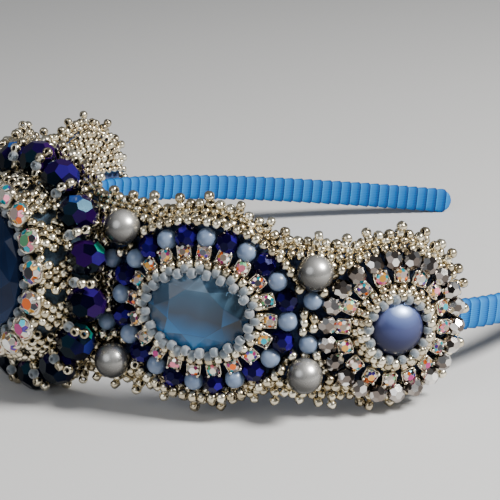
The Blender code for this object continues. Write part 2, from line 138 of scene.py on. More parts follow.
# Rows along the panel's outline: inset from it and rise, in front of the felt and behind it
EDGE_BASE_ROW = (2.1 * MM, 2.5 * MM)
EDGE_FRONT_ROW = (3.3 * MM, 4.35 * MM)
BACK_INSETS = (3.4 * MM, 5.3 * MM, 7.2 * MM, 9.1 * MM, 11.0 * MM, 12.9 * MM)
BACK_RISE = 0.6 * MM
BAND_REACH = 4.8 * MM
FULL_BACK_START = 64.0 * MM

# Seeds sewn on the felt: rise of the two layers, insets of the rows and the random spots tried between them
SEWN_RISES = (4.4 * MM, 6.3 * MM)
SEWN_INSET = 4.9 * MM
FILL_INSETS = np.arange(5.2, 20.0, 1.95) * MM
RANDOM_SPOTS = 9000
RANDOM_REACH = (97.0 * MM, 24.0 * MM)

# Room that a sewn seed's middle keeps from a big bead and from the drum's wall
BEAD_CLEARANCE = 0.8 * MM
DRUM_CLEARANCE = 0.9 * MM

# Medallions sewn on the felt: outline, clearance and inset of the second layer's row round it
FELT_MEDALLIONS = ((OVAL_OUTLINE, OVAL_CLEARANCE, 2.2 * MM), (END_OUTLINE, END_CLEARANCE, 3.4 * MM))

# Wound ribbon: mesh steps to a wrap and round the band, the wrap's height, where it peaks and the way round in mm
WRAP_STEPS = 7
BAND_SEGMENTS = 24
WRAP_HEIGHT = 0.34 * MM
WRAP_PEAK = 0.86
RIBBON_GIRTH = 16.0


# Layout

def hoop_frame(s):
    """Point of the centreline at arc length s and its outward normal; s below 0 is the left side"""
    side = -1 if s < 0 else 1
    left = abs(s)
    x = y = angle = 0.0
    for length, radius in HOOP_ARCS:
        turn = min(left, length) / radius
        x += radius * (sin(angle + turn) - sin(angle))
        y += radius * (cos(angle) - cos(angle + turn))
        angle += turn
        left = max(left - length, 0.0)
    return np.array([side * x, y, 0.0]), np.array([side * sin(angle), -cos(angle), 0.0])


def place(s, z, rise):
    point, outward = hoop_frame(s)
    return point + outward * rise + UP * z


def bent(center):
    """Surface of a medallion that bends with the felt: x, z and rise to a point and its normal"""
    def surface(x, z, rise):
        s = center + x * CROWN_RADIUS / (CROWN_RADIUS + rise)
        return place(s, z, rise), hoop_frame(s)[1]
    return surface


def plane(x, z, rise):
    """Surface of the stiff centre medallion"""
    return np.array([x, -rise, z]), np.array([0.0, -1.0, 0.0])


def unit(vector):
    return vector / np.linalg.norm(vector)


def ring(surface, semi_axes, rise, count, phase=0.0):
    """Even spots round an ellipse: each a point with its tangent, its normal and its outward radial"""
    angles = np.linspace(0, 2 * pi, 721)
    xs = semi_axes[0] * np.cos(angles)
    zs = semi_axes[1] * np.sin(angles)
    lengths = np.concatenate([[0], np.cumsum(np.hypot(np.diff(xs), np.diff(zs)))])
    shares = np.mod((np.arange(count) + phase) / count, 1.0)
    spots = []
    for a in np.interp(shares * lengths[-1], lengths, angles):
        point, normal = surface(semi_axes[0] * cos(a), semi_axes[1] * sin(a), rise)
        ahead, _ = surface(semi_axes[0] * cos(a + 0.01), semi_axes[1] * sin(a + 0.01), rise)
        tangent = unit(ahead - point)
        radial = unit(np.cross(tangent, normal))
        middle, _ = surface(0.0, 0.0, rise)
        if radial @ (point - middle) < 0:
            radial = -radial
        spots.append((point, tangent, normal, radial))
    return spots


def outline_height(s, above, inset):
    """Height of the scalloped outline over or under the band's middle, less an inset"""
    waist = INNER_WAIST if abs(s) < OVAL_OUTLINE[0] else OUTER_WAIST
    heights = [waist - inset] if abs(s) < END_OUTLINE[0] else [0.0]
    for center, half_length, upper, lower in (CENTER_OUTLINE, OVAL_OUTLINE, END_OUTLINE):
        across = (abs(s) - center) / (half_length - inset)
        if abs(across) < 1:
            heights.append(((upper if above else lower) - inset) * sqrt(1 - across * across))
    return max(heights)


def outline_row(inset, rise):
    """Even spots along the scalloped outline: point, tangent, normal, direction off the panel, s and z"""
    reach = END_OUTLINE[1] - inset
    bend = [END_OUTLINE[0] + reach * sin(t) for t in np.linspace(0, pi / 2, 60)]
    upper = [-s for s in reversed(bend)] + list(np.linspace(-END_OUTLINE[0], END_OUTLINE[0], 700))[1:-1] + bend
    path = [(s, outline_height(s, True, inset)) for s in upper]
    path += [(s, -outline_height(s, False, inset)) for s in reversed(upper[1:-1])]
    path.append(path[0])
    points = np.array([place(s, z, rise) for s, z in path])
    lengths = np.concatenate([[0], np.cumsum(np.linalg.norm(np.diff(points, axis=0), axis=1))])
    count = round(lengths[-1] / SEED_PITCH)
    spots = []
    for length in np.arange(count) * lengths[-1] / count:
        s = float(np.interp(length, lengths, [p[0] for p in path]))
        z = float(np.interp(length, lengths, [p[1] for p in path]))
        before, after = (
            np.array([np.interp(np.mod(length + step, lengths[-1]), lengths, points[:, k]) for k in range(3)])
            for step in (-0.6 * MM, 0.6 * MM)
        )
        normal = hoop_frame(s)[1]
        tangent = unit(after - before)
        spots.append((place(s, z, rise), tangent, normal, unit(np.cross(normal, tangent)), s, z))
    return spots


# Meshes

def node_center(name):
    low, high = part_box(name)
    return (low + high) / 2


def hoop_to_row():
    """Matrix from the hoop's frame to the row frame, read off two packed beads"""
    s, z = PEARL_SPOTS[1]
    pearl = Vector(place(-s, z, SEAT_RISE + PEARL_RADIUS))
    # The first dark bead sits half a step past the lowest point of its ring
    angle = 2 * pi * 0.5 / DARK_BEAD_COUNT - pi / 2
    dark = Vector((DARK_RING_RADIUS * cos(angle), -DARK_RING_RISE, DARK_RING_RADIUS * sin(angle)))
    apart = pearl - dark
    packed = node_center("pearl_03") - node_center("dark_bead_01")
    turn = Matrix.Rotation(atan2(packed.z, packed.y) - atan2(apart.z, apart.y), 4, "X")
    return Matrix.Translation(node_center("dark_bead_01") - turn @ dark) @ turn


TO_ROW = np.array(hoop_to_row())


def clear_of_floor(point, normal):
    """Push a seed that would reach below the surface up to it and outward"""
    short = SEED_RADIUS - TO_ROW[2, :3] @ point - TO_ROW[2, 3]
    return point + (UP + normal * 0.8) * max(short, 0.0)


def add_object(name, data):
    obj = bpy.data.objects.new(name, data)
    bpy.context.scene.collection.objects.link(obj)
    return obj


def add_piece(name, verts, faces, material, replaced=(), smooth=True, uv=None):
    """Mesh from points in the hoop's frame, riding on the frame's only body"""
    mesh = bpy.data.meshes.new(name)
    placed = np.asarray(verts) @ TO_ROW[:3, :3].T + TO_ROW[:3, 3]
    mesh.from_pydata(placed.tolist(), [], faces)
    if uv is not None:
        layer = mesh.uv_layers.new(name="layout")
        loops = np.zeros(len(mesh.loops), np.int32)
        mesh.loops.foreach_get("vertex_index", loops)
        layer.data.foreach_set("uv", np.asarray(uv, np.float32)[loops].ravel())
    if smooth:
        mesh.shade_smooth()
    mesh.materials.append(material)
    obj = add_object(name, mesh)
    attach(obj, "root")
    if replaced:
        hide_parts(*replaced)


def aim(axis, face):
    """Rotation whose Z is the axis and whose X is turned towards face"""
    z = unit(axis)
    x = face - (face @ z) * z
    if np.linalg.norm(x) < 1e-6:
        x = np.cross(z, UP + 0.1)
    x = unit(x)
    return np.array([x, np.cross(z, x), z]).T


def wobble(amount):
    """Small random turn"""
    x, y, z = RNG.normal(0, amount, 3)
    return np.array([[1, -z, y], [z, 1, -x], [-y, x, 1]])


def drawn_size(mean=1.0):
    """Random scale of one seed"""
    return RNG.normal(mean, 0.03)


class Beads:
    """Places of one kind of bead; build() joins them into one mesh"""

    def __init__(self, template):
        self.verts, self.faces, *layout = template
        self.uv = layout[0] if layout else None
        self.places = []

    def add(self, point, axis, face, scale=1.0, loose=0.0):
        turn = aim(axis, face)
        if loose:
            turn = aim(*(wobble(loose) @ turn).T[[2, 0]])
        self.places.append((np.asarray(point), turn * scale))

    def build(self, name, material, slot, replaced=(), smooth=True):
        count = len(self.verts)
        verts = np.concatenate([self.verts @ turn.T + point for point, turn in self.places])
        faces = [tuple(v + i * count for v in face) for i in range(len(self.places)) for face in self.faces]
        uv = None if self.uv is None else np.tile(self.uv, (len(self.places), 1))
        add_piece(name, verts, faces, material, replaced, smooth, uv)


# Bead shapes, each about its own Z axis

def seed_shape(segments=10):
    """Round-shouldered barrel with a hole through it; u is 1 inside the hole, where shade is painted"""
    profile = (
        (1.0, -0.45, 0.0), (1.0, 0.45, 0.0), (0.74, 1.0, 0.0), (0.42, 0.80, 0.7),
        (0.33, 0.0, 1.0), (0.42, -0.80, 0.7), (0.74, -1.0, 0.0),
    )
    count = len(profile)
    verts = []
    for i in range(segments):
        turn = 2 * pi * i / segments
        for out, height, _ in profile:
            out *= SEED_RADIUS
            verts.append((out * cos(turn), out * sin(turn), SEED_HALF_LENGTH * height))
    faces = []
    for i in range(segments):
        for j in range(count):
            a, b = i * count, (i + 1) % segments * count
            k = (j + 1) % count
            faces.append((a + j, b + j, b + k, a + k))
    uv = np.array([(inside, 0.0) for _, _, inside in profile] * segments)
    return np.array(verts), faces, uv


SEED = seed_shape()


def from_bmesh(bm):
    bmesh.ops.recalc_face_normals(bm, faces=bm.faces)
    bm.verts.index_update()
    verts = np.array([v.co[:] for v in bm.verts])
    faces = [tuple(v.index for v in f.verts) for f in bm.faces]
    bm.free()
    return verts, faces


def round_shape(radius, segments, rings):
    bm = bmesh.new()
    bmesh.ops.create_uvsphere(bm, u_segments=segments, v_segments=rings, radius=radius)
    return from_bmesh(bm)


def cut_shape(reach, planes, bevel=0.0):
    """Solid cut out of a block by planes, each a polar angle, a turn and a distance from the middle"""
    bm = bmesh.new()
    bmesh.ops.create_cube(bm, size=2 * reach)
    for polar, turn, distance in planes:
        normal = Vector((sin(polar) * cos(turn), sin(polar) * sin(turn), cos(polar)))
        everything = bm.verts[:] + bm.edges[:] + bm.faces[:]
        cut = bmesh.ops.bisect_plane(bm, geom=everything, plane_co=normal * distance, plane_no=normal,
                                     clear_outer=True)["geom_cut"]
        edges = [g for g in cut if isinstance(g, bmesh.types.BMEdge)]
        if len(edges) > 2:
            bmesh.ops.contextual_create(bm, geom=edges)
    if bevel:
        bmesh.ops.bevel(bm, geom=bm.edges[:], offset=bevel, segments=1, affect="EDGES")
    return from_bmesh(bm)


def facet_row(polar_deg, count, distance, half_step=False):
    shift = 0.5 if half_step else 0.0
    return [(radians(polar_deg), 2 * pi * (i + shift) / count, distance) for i in range(count)]


def faceted_shape(radius, count=8):
    """Faceted bead: a row of facets round its middle, two more on each side and flat ends"""
    planes = facet_row(90, count, radius * 0.97)
    planes += facet_row(54, count, radius * 0.95, True) + facet_row(126, count, radius * 0.95, True)
    planes += facet_row(24, count // 2, radius * 0.92) + facet_row(156, count // 2, radius * 0.92)
    planes += [(0.0, 0.0, radius * 0.9), (pi, 0.0, radius * 0.9)]
    return cut_shape(radius * 1.3, planes)


def crystal_shape(radius):
    """Small round set crystal, its table facing +Z"""
    planes = [(0.0, 0.0, radius * 0.62), (pi, 0.0, radius * 0.35)]
    planes += facet_row(90, 12, radius)
    planes += facet_row(36, 8, radius * 0.80) + facet_row(58, 8, radius * 0.95, True)
    return cut_shape(radius * 1.5, planes, radius * 0.02)


def cup_shape(radius, segments=32):
    """Round metal cup with four prongs: rings of a share of the radius, a height and a share of the prongs"""
    verts = []
    rings = ((0.62, -0.85, 0.0), (0.98, -0.55, 0.0), (1.10, 0.0, 0.0), (1.04, 0.22, 1.0), (0.90, 0.18, 1.0),
             (0.92, -0.30, 0.0))
    for out, height, pointed in rings:
        for i in range(segments):
            turn = 2 * pi * i / segments
            corner = max(0.0, cos(4 * turn + pi))
            prong = corner ** 4 * pointed
            r = radius * (out * (1 + 0.10 * corner) - 0.30 * prong)
            verts.append((r * cos(turn), r * sin(turn), radius * (height + 0.52 * prong)))
    return np.array(verts), tube_faces(len(rings), segments)


def tube_faces(rings, segments):
    """Faces between rings of points, with both ends closed"""
    faces = []
    for j in range(rings - 1):
        for i in range(segments):
            k = (i + 1) % segments
            faces.append((j * segments + i, j * segments + k, (j + 1) * segments + k, (j + 1) * segments + i))
    faces.append(tuple(reversed(range(segments))))
    faces.append(tuple((rings - 1) * segments + i for i in range(segments)))
    return faces


def square_cup_shape(radius, segments=24):
    """Square metal cup with a claw at each corner"""
    rings = ((0.70, -0.90), (0.98, -0.70), (1.02, 0.0), (0.88, 0.06), (0.84, -0.35))
    verts = []
    for share, height in rings:
        for i in range(segments):
            turn = 2 * pi * i / segments
            reach = radius * share * (cos(turn) ** 6 + sin(turn) ** 6) ** (-1 / 6)
            verts.append((reach * cos(turn), reach * sin(turn), radius * height))
    faces = tube_faces(len(rings), segments)
    claw_verts, claw_faces = round_shape(radius * 0.25, 8, 6)
    for x, y in ((-1, -1), (-1, 1), (1, -1), (1, 1)):
        first = len(verts)
        verts += (claw_verts + radius * np.array([0.74 * x, 0.74 * y, 0.30])).tolist()
        faces += [tuple(v + first for v in face) for face in claw_faces]
    return np.array(verts), faces


def stone_shape(radius, height, girdle, table, sides=8):
    """Cut stone standing on z 0: hull of rings, each a share of the radius, a height, a count and a turn"""
    bm = bmesh.new()
    rings = (
        (0.86, 0.0, 2 * sides, 0.0), (1.0, girdle * 0.7, 2 * sides, 0.0), (1.0, girdle, 2 * sides, 0.0),
        ((2 + table) / 3, girdle + (height - girdle) * 0.50, sides, 0.0), (table, height, sides, 0.5),
    )
    for share, z, count, shift in rings:
        for i in range(count):
            turn = 2 * pi * (i + shift) / count
            bm.verts.new((radius * share * cos(turn), radius * share * sin(turn), z))
    bmesh.ops.convex_hull(bm, input=bm.verts)
    bmesh.ops.dissolve_limit(bm, angle_limit=0.01, verts=bm.verts, edges=bm.edges)
    bmesh.ops.bevel(bm, geom=bm.edges[:], offset=radius * 0.006, segments=1, affect="EDGES")
    return from_bmesh(bm)


# Materials

def make_material(name, **inputs):
    """Material with a Principled shader; the inputs are named with underscores for spaces"""
    material = bpy.data.materials.new(name)
    material.use_nodes = True
    shader = material.node_tree.nodes["Principled BSDF"]
    for key, value in inputs.items():
        if isinstance(value, tuple):
            value = (*value, 1.0)
        shader.inputs[key.replace("_", " ")].default_value = value
    return material


def node(material, kind, inputs=None, **settings):
    made = material.node_tree.nodes.new("ShaderNode" + kind)
    for key, value in settings.items():
        setattr(made, key, value)
    for key, value in (inputs or {}).items():
        if isinstance(value, bpy.types.NodeSocket):
            material.node_tree.links.new(value, made.inputs[key])
        else:
            made.inputs[key].default_value = value
    return made


def feed(material, key, socket):
    material.node_tree.links.new(socket, material.node_tree.nodes["Principled BSDF"].inputs[key])


def ramp(material, factor, stops, interpolation="LINEAR"):
    made = node(material, "ValToRGB", {"Fac": factor})
    made.color_ramp.interpolation = interpolation
    elements = made.color_ramp.elements
    while len(elements) < len(stops):
        elements.new(0.5)
    for element, (position, colour) in zip(elements, stops):
        element.position = position
        element.color = (*colour, 1.0)
    return made.outputs["Color"]


def colour_by(material, factor, stops, interpolation="LINEAR"):
    """Base colour picked by a 0 to 1 value"""
    feed(material, "Base Color", ramp(material, factor, stops, interpolation))


def spread(material, socket, low, high):
    """Map a 0 to 1 value to a range"""
    return node(material, "MapRange", {"Value": socket, "To Min": low, "To Max": high}).outputs["Result"]


def multiply_add(material, value, factor, term):
    return node(material, "Math", {0: value, 1: factor, 2: term}, operation="MULTIPLY_ADD").outputs[0]


def scaled(material, colour, share):
    return node(material, "VectorMath", {0: colour, "Scale": share}, operation="SCALE").outputs[0]


def fine_noise(material, scale, detail=3.0):
    position = node(material, "TexCoord").outputs["Object"]
    return node(material, "TexNoise", {"Scale": scale, "Detail": detail, "Vector": position}).outputs["Fac"]


def roughen(material, scale, low, high):
    """Roughness that varies in fine spots"""
    feed(material, "Roughness", spread(material, fine_noise(material, scale), low, high))


def add_bump(material, height, strength, distance):
    made = node(material, "Bump", {"Height": height, "Strength": strength, "Distance": distance})
    feed(material, "Normal", made.outputs["Normal"])


def layout_of(material):
    """The mesh's own layout, whole and as its two parts"""
    layout = node(material, "UVMap", uv_map="layout").outputs["UV"]
    return layout, node(material, "SeparateXYZ", {"Vector": layout}).outputs


def island(material):
    """A random number for each separate bead of a mesh"""
    return node(material, "NewGeometry").outputs["Random Per Island"]


def facet_value(material):
    """A number that changes from facet to facet and from bead to bead"""
    geometry = node(material, "NewGeometry")
    moved = node(material, "VectorMath", {0: geometry.outputs["Random Per Island"], 1: (6.0, 4.2, 7.8)},
                 operation="MULTIPLY").outputs[0]
    facing = node(material, "VectorMath", {0: geometry.outputs["True Normal"], 1: (3.0, 3.0, 3.0), 2: moved},
                  operation="MULTIPLY_ADD").outputs[0]
    cell = node(material, "VectorMath", {0: facing, 1: (0.35, 0.35, 0.35)}, operation="SNAP").outputs[0]
    return node(material, "TexWhiteNoise", {"Vector": cell}).outputs["Value"]


def turned_to(material, direction, kind="Normal"):
    """How far the surface faces a direction, from -1 to 1"""
    return node(material, "VectorMath", {0: node(material, "NewGeometry").outputs[kind], 1: direction},
                operation="DOT_PRODUCT").outputs["Value"]


def painted_hole_shade(material, colour, depth=0.94):
    """Paint shade into a bead's colour inside its hole"""
    _, parts = layout_of(material)
    return scaled(material, colour, spread(material, parts["X"], 1.0, 1.0 - depth))


def silver_seed_material():
    material = make_material("silver_seed", Metallic=1.0)
    colour = ramp(material, island(material), (
        (0.0, (0.46, 0.385, 0.26)), (0.5, (0.70, 0.615, 0.445)), (1.0, (1.0, 0.92, 0.73))))
    # Painted shade inside each seed's hole
    feed(material, "Base Color", painted_hole_shade(material, colour))
    roughen(material, 900.0, 0.16, 0.30)
    add_bump(material, fine_noise(material, 2200.0), 0.15, 0.05 * MM)
    return material


def frosted_seed_material():
    """Frosted glass, with a painted highlight that brightens it towards its rim"""
    material = make_material("frosted_seed", Transmission_Weight=0.75, IOR=1.35, Specular_IOR_Level=0.45)
    # Painted highlight, rising where the surface turns away from the view
    rim = node(material, "LayerWeight", {"Blend": 0.65}).outputs["Facing"]
    colour = ramp(material, multiply_add(material, island(material), 0.25, rim), (
        (0.15, (0.42, 0.50, 0.58)), (0.5, (0.64, 0.71, 0.78)), (1.0, (1.0, 1.0, 1.0))))
    # Painted shade inside each seed's hole
    feed(material, "Base Color", painted_hole_shade(material, colour, 0.6))
    roughen(material, 1500.0, 0.28, 0.46)
    add_bump(material, fine_noise(material, 4000.0), 0.3, 0.04 * MM)
    return material


def light_bead_material():
    material = make_material("light_blue_glass", Coat_Weight=0.25, Coat_Roughness=0.15)
    colour_by(material, fine_noise(material, 320.0), (
        (0.3, (0.115, 0.165, 0.27)), (0.7, (0.18, 0.245, 0.365))))
    roughen(material, 700.0, 0.25, 0.42)
    return material


def cobalt_material():
    material = make_material("cobalt_glass", Specular_IOR_Level=0.22, Specular_Tint=(0.35, 0.40, 1.0))
    colour_by(material, facet_value(material), (
        (0.0, (0.0008, 0.0, 0.006)), (0.5, (0.0022, 0.0, 0.020)), (0.8, (0.006, 0.0003, 0.065)),
        (1.0, (0.022, 0.003, 0.21))))
    roughen(material, 600.0, 0.03, 0.12)
    return material


def dark_bead_material():
    """Navy glass with aurora tints; facets turned up to the light get a painted highlight, those turned away
    painted shade
    """
    material = make_material("navy_aurora_glass", Specular_IOR_Level=0.2, Specular_Tint=(0.10, 0.36, 0.50))
    # How far each facet turns up towards the light, for the painted highlight and the painted shade
    facing = turned_to(material, (0.33, 0.60, 0.73), "True Normal")
    tone = multiply_add(material, facing, 0.62, facet_value(material))
    tone = node(material, "Math", {0: tone, 1: 0.60}, operation="MULTIPLY").outputs[0]
    colour_by(material, tone, (
        (0.0, (0.0004, 0.0001, 0.002)), (0.35, (0.0010, 0.0002, 0.006)), (0.50, (0.005, 0.0005, 0.026)),
        (0.62, (0.018, 0.001, 0.050)), (0.72, (0.012, 0.004, 0.10)), (0.84, (0.001, 0.09, 0.20)),
        (0.95, (0.004, 0.30, 0.17))))
    roughen(material, 400.0, 0.10, 0.20)
    return material


def crystal_material():
    """Crystal whose facets each flash in one colour"""
    material = make_material("aurora_crystal", Metallic=0.6, Coat_Weight=0.4, Coat_Roughness=0.02)
    colour_by(material, facet_value(material), (
        (0.0, (0.03, 0.03, 0.04)), (0.12, (0.30, 0.24, 0.19)), (0.26, (0.80, 0.74, 0.64)),
        (0.36, (0.80, 0.40, 0.07)), (0.48, (0.80, 0.14, 0.01)), (0.55, (0.40, 0.03, 0.18)),
        (0.62, (0.70, 0.54, 0.48)), (0.70, (0.80, 0.22, 0.32)), (0.75, (0.0, 0.36, 0.46)),
        (0.85, (0.18, 0.52, 0.26)), (0.89, (0.08, 0.04, 0.30)), (0.93, (1.0, 0.98, 0.94))), "CONSTANT")
    roughen(material, 900.0, 0.03, 0.12)
    return material


def faceted_silver_material():
    material = make_material("mirror_silver", Metallic=1.0)
    colour_by(material, facet_value(material), (
        (0.0, (0.06, 0.05, 0.045)), (0.3, (0.22, 0.185, 0.165)), (0.6, (0.52, 0.485, 0.455)),
        (1.0, (1.0, 0.98, 0.95))))
    roughen(material, 700.0, 0.06, 0.18)
    return material


def cup_material():
    material = make_material("cup_silver", Metallic=1.0)
    colour_by(material, fine_noise(material, 500.0), ((0.3, (0.50, 0.43, 0.32)), (0.7, (0.80, 0.74, 0.62))))
    roughen(material, 1200.0, 0.15, 0.35)
    return material


# Direction of the painted highlight on the pearls and cabochons; the side turned away is painted in shade
PAINTED_HIGHLIGHT_DIRECTION = (0.68, -0.14, 0.71)


def pearl_material():
    material = make_material("grey_pearl", Metallic=0.7, Coat_Weight=0.15, Coat_Roughness=0.2)
    # Base colour with a painted highlight on the side turned to the light and painted shade on the side turned away
    colour_by(material, turned_to(material, PAINTED_HIGHLIGHT_DIRECTION), (
        (0.0, (0.035, 0.034, 0.032)), (0.35, (0.085, 0.082, 0.078)), (0.7, (0.24, 0.235, 0.225)),
        (0.9, (0.42, 0.415, 0.40)), (1.0, (0.80, 0.79, 0.77))))
    roughen(material, 500.0, 0.22, 0.32)
    return material


def cabochon_material():
    material = make_material("periwinkle_pearl", Metallic=0.3, Specular_IOR_Level=0.3, Coat_Weight=0.12,
                             Coat_Roughness=0.08)
    # Base colour with a painted highlight on the side turned to the light and painted shade on the side turned away
    colour_by(material, turned_to(material, PAINTED_HIGHLIGHT_DIRECTION), (
        (0.2, (0.010, 0.011, 0.036)), (0.55, (0.023, 0.027, 0.082)), (0.78, (0.050, 0.063, 0.165)),
        (0.92, (0.12, 0.165, 0.37)), (1.0, (0.46, 0.62, 0.95))))
    roughen(material, 500.0, 0.26, 0.36)
    return material


def stone_material(name, stops, shade, gloss):
    """Milky cut glass, with clouds and one tone to a facet; the stops go from its lower to its upper edge"""
    material = make_material(name, Specular_IOR_Level=gloss, Coat_Weight=gloss * 0.8, Coat_Roughness=0.03)
    _, parts = layout_of(material)
    clouds = fine_noise(material, 110.0, 2.0)
    tone = multiply_add(material, parts["Y"], 0.38, 0.18)
    tone = multiply_add(material, facet_value(material), 0.42, tone)
    tone = multiply_add(material, clouds, 0.24, tone)
    dim = node(material, "MapRange", {"Value": parts["X"], "From Min": 0.1, "From Max": 0.75,
                                      "To Min": 1.0, "To Max": shade}).outputs["Result"]
    feed(material, "Base Color", scaled(material, ramp(material, tone, stops), dim))
    feed(material, "Roughness", spread(material, clouds, 0.06, 0.16))
    return material


def ribbon_material():
    """Wound ribbon, each wrap painted with shade towards its overlapping edge; its layout is the arc length and the
    way round the band, in mm
    """
    material = make_material("wound_ribbon", Specular_IOR_Level=0.15)
    layout, parts = layout_of(material)
    rib = node(material, "Math", {0: parts["X"], 1: RIB_PITCH / MM}, operation="DIVIDE").outputs[0]
    wrap = node(material, "Math", {0: rib}, operation="FRACT").outputs[0]
    weave = node(material, "TexWave", {"Vector": layout, "Scale": 1.6, "Distortion": 0.6, "Detail": 2.0},
                 bands_direction="Y").outputs["Fac"]
    # Painted shade: each wrap darkens towards the step at its overlapping edge, over the weave's own tone
    colour_by(material, multiply_add(material, weave, 0.14, wrap), (
        (0.0, (0.022, 0.29, 0.66)), (0.14, (0.009, 0.18, 0.49)), (0.62, (0.004, 0.115, 0.38)),
        (0.86, (0.002, 0.055, 0.22)), (1.0, (0.001, 0.022, 0.11))))
    feed(material, "Roughness", spread(material, weave, 0.5, 0.75))
    add_bump(material, weave, 0.35, 0.12 * MM)
    return material


def felt_material(name, dark, light):
    material = make_material(name, Sheen_Weight=0.4, Sheen_Roughness=0.5)
    fibres = fine_noise(material, 1400.0, 6.0)
    colour_by(material, fibres, ((0.3, dark), (0.7, light)))
    feed(material, "Roughness", spread(material, fibres, 0.8, 1.0))
    add_bump(material, fibres, 0.8, 0.25 * MM)
    return material


MATERIALS = {
    "silver": silver_seed_material(),
    "frosted": frosted_seed_material(),
    "light": light_bead_material(),
    "cobalt": cobalt_material(),
    "dark": dark_bead_material(),
    "crystal": crystal_material(),
    "mirror": faceted_silver_material(),
    "cup": cup_material(),
    "pearl": pearl_material(),
    "cabochon": cabochon_material(),
    "oval_stone": stone_material("oval_stone_glass", (
        (0.12, (0.032, 0.20, 0.44)), (0.34, (0.024, 0.112, 0.26)), (0.50, (0.036, 0.054, 0.085)),
        (0.68, (0.036, 0.082, 0.14)), (0.90, (0.10, 0.19, 0.28))), shade=0.25, gloss=0.35),
    "main_stone": stone_material("main_stone_glass", (
        (0.10, (0.010, 0.036, 0.11)), (0.40, (0.008, 0.025, 0.080)), (0.60, (0.005, 0.014, 0.048)),
        (0.90, (0.009, 0.020, 0.055))), shade=0.8, gloss=0.15),
    "ribbon": ribbon_material(),
    "felt": felt_material("navy_felt", (0.012, 0.022, 0.07), (0.05, 0.10, 0.26)),
    "drum_felt": felt_material("teal_felt", (0.008, 0.022, 0.04), (0.03, 0.07, 0.12)),
}


# Pieces

def squared(share):
    """Widen a circle's cosine or sine to a square with round corners"""
    return np.sign(share) * abs(share) ** 0.55


def make_ribbon_hoop():
    """Band wound with ribbon: each wrap rises towards the edge that overlaps the next one"""
    count = round(2 * HOOP_HALF_LENGTH / (RIB_PITCH / WRAP_STEPS))
    verts = []
    uv = []
    for i in range(count + 1):
        s = -HOOP_HALF_LENGTH + 2 * HOOP_HALF_LENGTH * i / count
        center, outward = hoop_frame(s)
        wrap = (abs(s) / RIB_PITCH) % 1.0
        depth = WRAP_HEIGHT * min(wrap / WRAP_PEAK, (1 - wrap) / (1 - WRAP_PEAK)) ** 0.7
        to_tip = (HOOP_HALF_LENGTH - abs(s)) / (BAND_WIDTH * 0.45)
        tip = sqrt(max(0.02, 1 - (1 - min(to_tip, 1.0)) ** 2))
        for j in range(BAND_SEGMENTS):
            t = 2 * pi * j / BAND_SEGMENTS
            z = squared(cos(t)) * (BAND_WIDTH / 2 - WRAP_HEIGHT + depth) * tip
            rise = squared(sin(t)) * (BAND_THICKNESS / 2 - 0.2 * MM + depth * 0.7) * tip
            verts.append(center + outward * rise + UP * z)
            uv.append((abs(s) / MM, j * RIBBON_GIRTH / BAND_SEGMENTS))
    add_piece("ribbon_hoop", verts, tube_faces(count + 1, BAND_SEGMENTS), MATERIALS["ribbon"],
              ["headband_hoop"], uv=uv)


def set_stone(name, surface, rise, semi_axes, shape, look, replaced):
    """Stone on its seat, stretched to its half axes; its layout runs from -1 to 1 across it"""
    stone = Beads(shape)
    stone.uv = stone.verts[:, :2] / semi_axes[0]
    stone.verts = stone.verts * (1.0, semi_axes[1] / semi_axes[0], 1.0)
    point, normal = surface(0.0, 0.0, rise)
    stone.add(point, normal, np.cross(UP, normal))
    stone.build(name, MATERIALS[look], "stone", [replaced], smooth=False)


def set_chatons(name, surface, semi_axes, base, row, make_cup, replaced):
    """Row of crystals in cups round a stone"""
    rise, cup_radius, crystal_radius, count, phase, lean = row
    crystals = Beads(crystal_shape(crystal_radius * MM))
    cups = Beads(make_cup(cup_radius * MM))
    for point, tangent, normal, radial in ring(surface, semi_axes, base + rise * MM, count, phase):
        axis = unit(normal + radial * lean)
        cups.add(point, axis, tangent, loose=0.05)
        crystals.add(point, axis, tangent, loose=0.05)
    cups.build(name + "_cups", MATERIALS["cup"], "crystal", [replaced])
    crystals.build(name + "_crystals", MATERIALS["crystal"], "crystal", [replaced], smooth=False)


def sew_bezel(name, surface, semi_axes, base, rows, replaced):
    """Rows stitched round a stone, their holes running round it; the frosted seeds are given back unbuilt"""
    silver = Beads(SEED)
    frosted = Beads(SEED)
    for offset, rise, count, phase, kind in rows:
        beads = frosted if kind == "frosted" else silver
        axes = (semi_axes[0] + offset * MM, semi_axes[1] + offset * MM)
        for point, tangent, normal, _ in ring(surface, axes, base + rise * MM, count, phase):
            beads.add(point + normal * RNG.normal(0, 0.08 * MM), tangent, normal, drawn_size(0.97), loose=0.09)
    silver.build(name, MATERIALS["silver"], "seeds", [replaced])
    return frosted


def dark_spots():
    return ring(plane, (DARK_RING_RADIUS, DARK_RING_RADIUS), DARK_RING_RISE, DARK_BEAD_COUNT, DARK_RING_PHASE)


